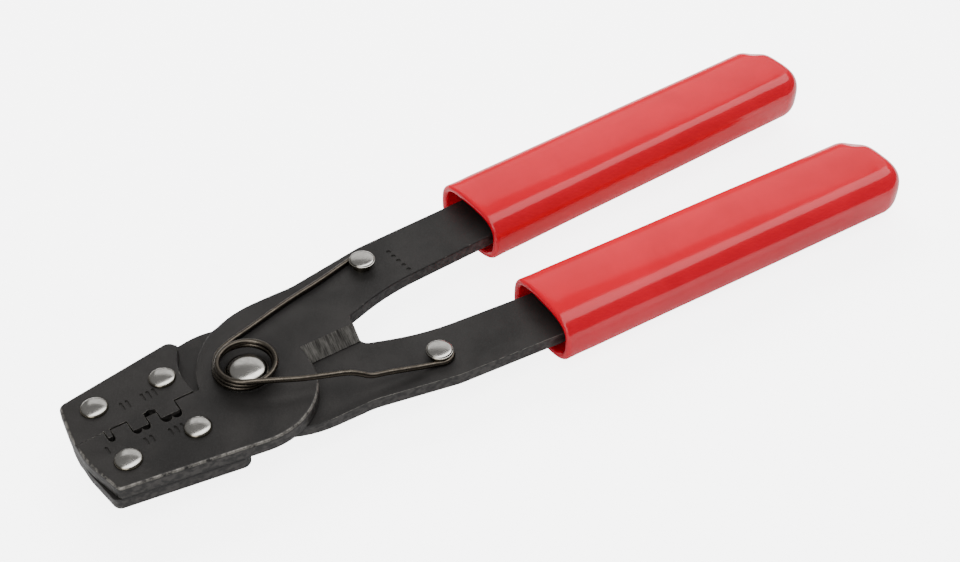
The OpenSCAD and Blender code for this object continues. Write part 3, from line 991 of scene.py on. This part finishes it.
@dataclass
class ReturnSpring:
    """The wire: a hook, an arm, a coil round the pivot, a second arm and hook.

    Sizes are in millimetres. The third value of each point of the lower arm
    is its share of the way down from the coil's top to the lower hook.
    """

    wire: float = 0.6
    coil: float = 5.9
    enter_deg: float = 145.0
    leave_deg: float = 962.0
    step_deg: float = 15.0
    pitch: float = 1.22
    foot: Pair = (-0.15, 0.8)
    lean: Pair = (0.35, -1.1)
    base_z: float = 3.63
    hook_radius: float = 2.73
    lower_hook_z: float = 0.58
    upper_hook_deg: Pair = (30.0, 103.0)
    lower_hook_deg: Pair = (254.0, 325.0)
    hook_lead: Pair = (1.3, 0.1)
    bend_from_y: float = 6.6
    bend_to_y: float = -6.9
    finer: int = 8
    sides: int = 20
    upper_arm: tuple = (
        (32.2, 16.4), (25.3, 14.7), (15.9, 12.8), (6.3, 10.3), (0.4, 8.8), (-2.9, 7.2),
    )
    lower_arm: tuple = (
        (1.6, -7.5, 0.035), (6.7, -9.9, 0.104), (11.4, -11.5, 0.19), (16, -12.8, 0.311),
        (18.3, -13.7, 0.466), (20.4, -14.5, 0.639), (24.4, -15.3, 0.742), (30.4, -16.7, 0.898),
    )

    def hook(self, centre: Pair, span: Pair, z: float) -> list[Point]:
        """Four points round a post, between two angles in degrees."""
        turns = [radians(span[0] + (span[1] - span[0]) * i / 3) for i in range(4)]
        r = self.hook_radius
        return [(centre[0] + r * cos(t), centre[1] + r * sin(t), z) for t in turns]

    def route(self) -> np.ndarray:
        """Every control point of the wire's middle line."""
        sweep = self.leave_deg - self.enter_deg
        count = ceil(sweep / self.step_deg)
        coil = []
        for share in (i / count for i in range(count + 1)):
            turn = radians(self.enter_deg + sweep * share)
            coil.append((
                self.foot[0] + self.lean[0] * share + self.coil * cos(turn),
                self.foot[1] + self.lean[1] * share + self.coil * sin(turn),
                self.base_z + self.pitch * sweep * share / 360,
            ))
        top, drop = coil[-1][2], self.lower_hook_z - coil[-1][2]
        last_hook = self.hook(LOWER_POST, self.lower_hook_deg, self.lower_hook_z)
        turn, (lead, lift) = radians(self.lower_hook_deg[0]), self.hook_lead
        x, y, z = last_hook[0]
        return np.array(
            self.hook(UPPER_POST, self.upper_hook_deg, self.base_z)
            + [(*point, self.base_z) for point in self.upper_arm]
            + coil
            + [(*point, top + drop * share) for *point, share in self.lower_arm]
            + [(x + lead * sin(turn), y - lead * cos(turn), z + lift)]
            + last_hook
        )

    def line(self) -> np.ndarray:
        """The smooth middle line through the control points."""
        p = self.route()
        last = len(p) - 1
        points = []
        for i in range(last):
            a, b, c, d = p[max(i - 1, 0)], p[i], p[i + 1], p[min(i + 2, last)]
            square, cube = 2 * a - 5 * b + 4 * c - d, 3 * b - a - 3 * c + d
            for t in (k / self.finer for k in range(self.finer)):
                points.append((2 * b + (c - a) * t + square * t * t + cube * t ** 3) / 2)
        return np.array(points + [p[last]])

    @staticmethod
    def wire_group() -> Group:
        """Builds the group that draws a round wire along a line."""
        group = Group.start(
            Kind.SHAPE_TREE, "drawn_wire",
            {
                "Geometry": Kind.SHAPE, "Wire Radius": Kind.VALUE, "Sides": Kind.COUNT,
                "Finish": Kind.FINISH,
            },
            {"Geometry": Kind.SHAPE},
        )
        nodes, given = group.nodes, group.entry.outputs
        path = nodes.add("GeometryNodeMeshToCurve", {"Mesh": given[0]}).outputs[0]
        size = {"Resolution": given["Sides"], "Radius": given["Wire Radius"]}
        ring = nodes.add("GeometryNodeCurvePrimitiveCircle", size).outputs["Curve"]
        sweep = {"Curve": path, "Profile Curve": ring, "Fill Caps": True}
        group.close(nodes.add("GeometryNodeCurveToMesh", sweep).outputs[0])
        return group

    def build(self, metal: Material) -> None:
        """Builds the wire, which spans both halves about the pivot and is attached to neither."""
        line = (self.line() * MM).tolist()
        edges = [(i, i + 1) for i in range(len(line) - 1)]
        values = {"Wire Radius": self.wire * MM, "Sides": self.sides, "Finish": metal}
        piece = self.wire_group().grow("return_spring_wire", line, edges, values)
        smooth_by_angle(piece, 50)
        dress(piece, [metal], None, ["return_spring"])
        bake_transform(piece)


# ---- Grips ----


@dataclass
class Grip:
    """A dipped vinyl sleeve with an open rolled mouth and a closed end.

    Sizes are in millimetres. The waist is a slow swell along the grip and the
    neck a shallow groove behind its mouth. The ridge runs along the near edge
    of the top, and the notch is pressed into the far corner of the end.
    """

    name: str
    node: str
    half: Half
    side: Side
    start: Pair
    mid_z: float
    slope_deg: float = 2.1
    length: float = 100.0
    width: float = 21.0
    thick: float = 13.0
    corner: float = 5.2
    wall: float = 1.7
    mouth: float = 32.0
    end_round: float = 5.2
    plan_round: float = 8.0
    crowned: float = 1.0
    fullness: float = 1.2
    waist: Pair = (0.10, 54.0)
    neck: Point = (0.12, 4.0, 2.2)
    ridge_y: float = 8.6
    ridge_drift: float = 0.022
    ridge_width: float = 1.7
    ridge_height: float = 0.1
    notch_at: Pair = (4.2, 6.4)
    notch_size: Pair = (2.1, 2.4)
    notch_below: float = 0.3
    ridge_from: float = 4.0
    around: int = 112
    along: int = 60
    lip_steps: int = 12
    end_steps: int = 24
    outline_steps: int = 160

    def section(self, width: float, thick: float, corner: float) -> np.ndarray:
        """Points of a crowned oblong with even spacing along its outline."""
        corner = min(corner, width / 2 - 0.01, thick / 2 - 0.01)
        power = 2.0 + self.fullness * (1 - corner / self.corner) + self.crowned
        turns = np.arange(self.outline_steps) * (2 * pi / self.outline_steps)
        c, d = np.cos(turns), np.sin(turns)
        wide = np.sign(c) * np.abs(c) ** (2 / power) * width / 2
        high = np.sign(d) * np.abs(d) ** (2 / power) * thick / 2
        ring = np.stack([np.append(wide, wide[0]), np.append(high, high[0])], -1)
        run = np.concatenate([[0], np.cumsum(np.linalg.norm(np.diff(ring, axis=0), axis=1))])
        at = np.linspace(0, run[-1], self.around, endpoint=False)
        return np.stack([np.interp(at, run, ring[:, 0]), np.interp(at, run, ring[:, 1])], -1)

    def stations(self) -> list[tuple[float, float, float, float]]:
        """Place along the grip, width, thickness and corner of every ring."""
        w, h, c, t = self.width, self.thick, self.corner, self.wall
        inner, lip, end = (w - 2 * t, h - 2 * t, c - t), t / 2, self.length - self.plan_round
        back = self.mouth - 0.2
        rings = [(back, inner[0] - 6, inner[1] - 6, 0.5), (back, *inner)]
        rings += [(x, *inner) for x in (self.mouth * 0.6, self.mouth * 0.3, 6.0, 3.0, 1.6)]
        for turn in (pi * k / self.lip_steps for k in range(self.lip_steps + 1)):
            out = t * (1 - cos(turn)) / 2
            x = lip - lip * sin(turn)
            rings.append((x, inner[0] + 2 * out, inner[1] + 2 * out, inner[2] + out))
        for k in range(1, self.along + 1):
            x = lip + (end - lip) * k / self.along
            slow = self.waist[0] * (1 - cos(2 * pi * x / self.waist[1])) / 2
            groove = self.neck[0] * exp(-(((x - self.neck[1]) / self.neck[2]) ** 2))
            rings.append((x, w - slow - groove, h - slow - groove, c))
        for k in range(1, self.end_steps + 1):
            x = end + self.plan_round * sin(pi / 2 * k / self.end_steps)
            cuts = [
                r - sqrt(max(0.0, r * r - max(0.0, x - self.length + r) ** 2))
                for r in (self.plan_round, self.end_round)
            ]
            rings.append((x, w - 2 * cuts[0], h - 2 * cuts[1], c))
        return rings

    def shape(self, x: float, across: float, up: float) -> Point:
        """Moves one point for the notch and the ridge."""
        off = ((x - self.length + self.notch_at[0]) / self.notch_size[0]) ** 2
        dent = exp(-off) * exp(-(((across - self.notch_at[1]) / self.notch_size[1]) ** 2))
        up -= dent if up > 0 else -dent * self.notch_below
        if up > 0:
            crest = (across + self.ridge_y - self.ridge_drift * x) / self.ridge_width
            fade = sin(pi * min(1.0, max(0.0, x / self.length))) ** 0.5
            rise = fade * exp(-(crest ** 2)) - 1.0
            up += self.ridge_height * rise * min(1.0, up / self.ridge_from)
        return (x, across, up)

    def mesh(self) -> Object:
        """Builds the closed sleeve in place."""
        bm = bmesh.new()
        spin = Matrix.Rotation(radians(self.slope_deg * self.side.value), 4, "Z")
        origin = Vector((*self.start, self.mid_z)) * MM
        stations = self.stations()
        rings = []
        for x, *size in stations:
            points = [Vector(self.shape(x, *point)) * MM for point in self.section(*size)]
            rings.append([bm.verts.new(spin @ point + origin) for point in points])
        pairs = [(k, (k + 1) % self.around) for k in range(self.around)]
        for low, high in zip(rings, rings[1:]):
            for k, m in pairs:
                bm.faces.new([low[k], low[m], high[m], high[k]])
        for ring, x in ((rings[0], stations[0][0]), (rings[-1], self.length)):
            hub = bm.verts.new(spin @ (Vector((x, 0, 0)) * MM) + origin)
            for k, m in pairs:
                bm.faces.new([ring[k], ring[m], hub])
        bmesh.ops.recalc_face_normals(bm, faces=bm.faces)
        return shown(bm, self.name, 60)

    def build(self, vinyl: Material) -> None:
        """Builds the grip and dresses it."""
        dress(self.mesh(), [vinyl], self.half, [self.node])


# ---- Studio ----


@dataclass(frozen=True)
class Lamp:
    """One soft panel, with places and sizes in metres and power in watts."""

    name: str
    place: Point
    aim: Point
    size: Pair
    power: float
    mirrored: bool = True

    def hang(self) -> None:
        """Adds the lamp; shiny surfaces show it only if it is mirrored."""
        data = bpy.data.lights.new(self.name, "AREA")
        data.shape = "RECTANGLE"
        data.size, data.size_y = self.size
        data.energy = self.power
        lamp = bpy.data.objects.new(self.name, data)
        bpy.context.scene.collection.objects.link(lamp)
        lamp.visible_glossy = self.mirrored
        place = Vector(self.place)
        turn = (Vector(self.aim) - place).to_track_quat("-Z", "Y").to_matrix().to_4x4()
        lamp.matrix_world = Matrix.Translation(place) @ turn


@dataclass
class Studio:
    """Camera, pale floor and soft lights."""

    eye: Point = (-78.8, -189.75, 213.0)
    azimuth_deg: float = 35.6
    elevation_deg: float = 42.573
    roll_deg: float = 1.1876
    lens: float = 54.083
    floor_z: float = -8.0
    floor_half: float = 4.0
    floor_glow: float = 5.0
    floor_fill: float = 0.1
    world_strength: float = 0.14
    lamps: Sequence[Lamp] = (
        Lamp("back_panel", (0.66, 0.76, 0.58), (0.06, 0.0, 0.0), (1.4, 0.62), 1.5),
        Lamp("top_strip", (0.12, -0.10, 0.8), (0.1, 0.0, 0.0), (2.2, 0.44), 7.5),
        Lamp("front_fill", (-0.7, -0.5, 0.5), (0.0, 0.0, 0.0), (0.6, 0.6), 3.2),
        Lamp("back_key", (0.45, 1.0, 0.75), (0.06, 0.0, 0.0), (1.4, 0.6), 24.0, False),
    )

    def camera(self) -> None:
        """Makes the camera and sets it as the scene's own."""
        data = bpy.data.cameras.new("camera")
        data.lens = self.lens
        data.sensor_width = 36.0
        data.clip_start = 0.005
        data.clip_end = 20.0
        camera = bpy.data.objects.new("camera", data)
        bpy.context.scene.collection.objects.link(camera)
        matrix = Matrix.Translation(Vector(self.eye) * MM)
        for degrees, axis in (
            (-self.azimuth_deg, "Z"), (90 - self.elevation_deg, "X"), (self.roll_deg, "Z")
        ):
            matrix = matrix @ Matrix.Rotation(radians(degrees), 4, axis)
        camera.matrix_world = matrix
        bpy.context.scene.camera = camera

    def floor(self) -> None:
        """Lays the pale floor, which glows for the camera alone."""
        mesh = bpy.data.meshes.new("floor")
        half, z = self.floor_half, self.floor_z * MM
        corners = [(-half, -half, z), (half, -half, z), (half, half, z), (-half, half, z)]
        mesh.from_pydata(corners, [], [(0, 1, 2, 3)])
        floor = new_object("floor", mesh)
        material, nodes, shader = start_material("pale_floor")
        seen = nodes.add("ShaderNodeLightPath").outputs["Is Camera Ray"]
        nodes.feed(shader, {
            "Emission Strength": nodes.math("MULTIPLY_ADD", seen, self.floor_glow, self.floor_fill),
            "Base Color": (0.93, 0.93, 0.93, 1.0),
            "Roughness": 0.9,
            "Emission Color": (1.0, 1.0, 1.0, 1.0),
            "Specular IOR Level": 0.1,
        })
        floor.data.materials.append(material)

    def world(self) -> None:
        """Sets an even surrounding light."""
        world = bpy.data.worlds.new("studio")
        world.use_nodes = True
        back = world.node_tree.nodes["Background"]
        back.inputs[0].default_value = (1.0, 1.0, 1.0, 1.0)
        back.inputs[1].default_value = self.world_strength
        bpy.context.scene.world = world

    def build(self) -> None:
        """Sets up the whole studio."""
        self.camera()
        self.floor()
        self.world()
        for lamp in self.lamps:
            lamp.hang()


# ---- Whole tool ----


# Each metal lists its painted highlight colour for flat faces, then its painted shade colour for
# steep faces.
NICKEL = BareMetal(
    "satin_nickel", (0.96, 0.93, 0.87), (0.2, 0.18, 0.14), 0.14, 0.16, 0.09, (0.7, 0.96)
)
WASHER = BareMetal("dull_washer", (0.46, 0.42, 0.35), (0.24, 0.21, 0.17), 0.3, 0.4, 0.25)
WIRE = BareMetal(
    "drawn_wire_steel", (0.19, 0.165, 0.135), (0.045, 0.038, 0.03), 0.25, 0.4, 0.3, (0.45, 0.97)
)


def main() -> None:
    """Builds the studio and every piece of the tool in order."""
    logging.basicConfig(level=logging.INFO, format="%(message)s")
    Studio().build()
    effects = Effects()
    steel, ground, nickel, ring, wire, vinyl = (
        finish.build(effects)
        for finish in (BlackSteel(), GroundSteel(), NICKEL, WASHER, WIRE, Vinyl())
    )

    upper_marks = tally(-24.6, 5.3, 2, 2.3) + tally(-20.2, 5.3, 3, 2.3)
    lower_marks = tally(-31.6, -3.6, 1, 2.1) + tally(-24.5, -5.5, 2, 2.1)
    lower_marks += tally(-19.6, -6.0, 3, 2.1)
    lower_marks += [Mark(43.6 - 0.16 * k, 7.9 + 1.8 * k) for k in range(5)]
    for plate in (
        Plate("upper_lever", "upper_lever_plate", Half.UPPER, FACE_Z, lower_marks),
        Plate("lower_lever", "lower_lever_plate", Half.LOWER, -FACE_Z),
        Plate("upper_jaw_die_plate", "upper_jaw_plate", Half.LOWER, FACE_Z, upper_marks),
        Plate("lower_jaw_die_plate", "lower_jaw_plate", Half.UPPER, -FACE_Z),
    ):
        plate.build(steel, ground)

    rivets = rivet_group()
    for jaw, half, y in (("upper", Half.LOWER, 7.9), ("lower", Half.UPPER, -7.9)):
        nodes = [f"{jaw}_front_jaw_rivet", f"{jaw}_rear_jaw_rivet"]
        RivetRow(f"{jaw}_jaw_rivets", half, y, nodes).build(rivets, nickel)
    Pivot().build(nickel, ring)
    for post in (
        SpringPost("upper_post_turned", "upper_spring_post", Half.UPPER, UPPER_POST, GAP_Z, FACE_Z),
        SpringPost(
            "lower_post_turned", "lower_spring_post", Half.LOWER, LOWER_POST, -FACE_Z, -GAP_Z
        ),
    ):
        post.build(nickel)
    ReturnSpring().build(wire)
    for grip in (
        Grip("upper_grip_sleeve", "upper_grip", Half.UPPER, Side.UP, (64.2, 15.1), 1.5),
        Grip("lower_grip_sleeve", "lower_grip", Half.LOWER, Side.DOWN, (60.8, -17.1), -1.5),
    ):
        grip.build(vinyl)


if __name__ == "__main__":
    main()
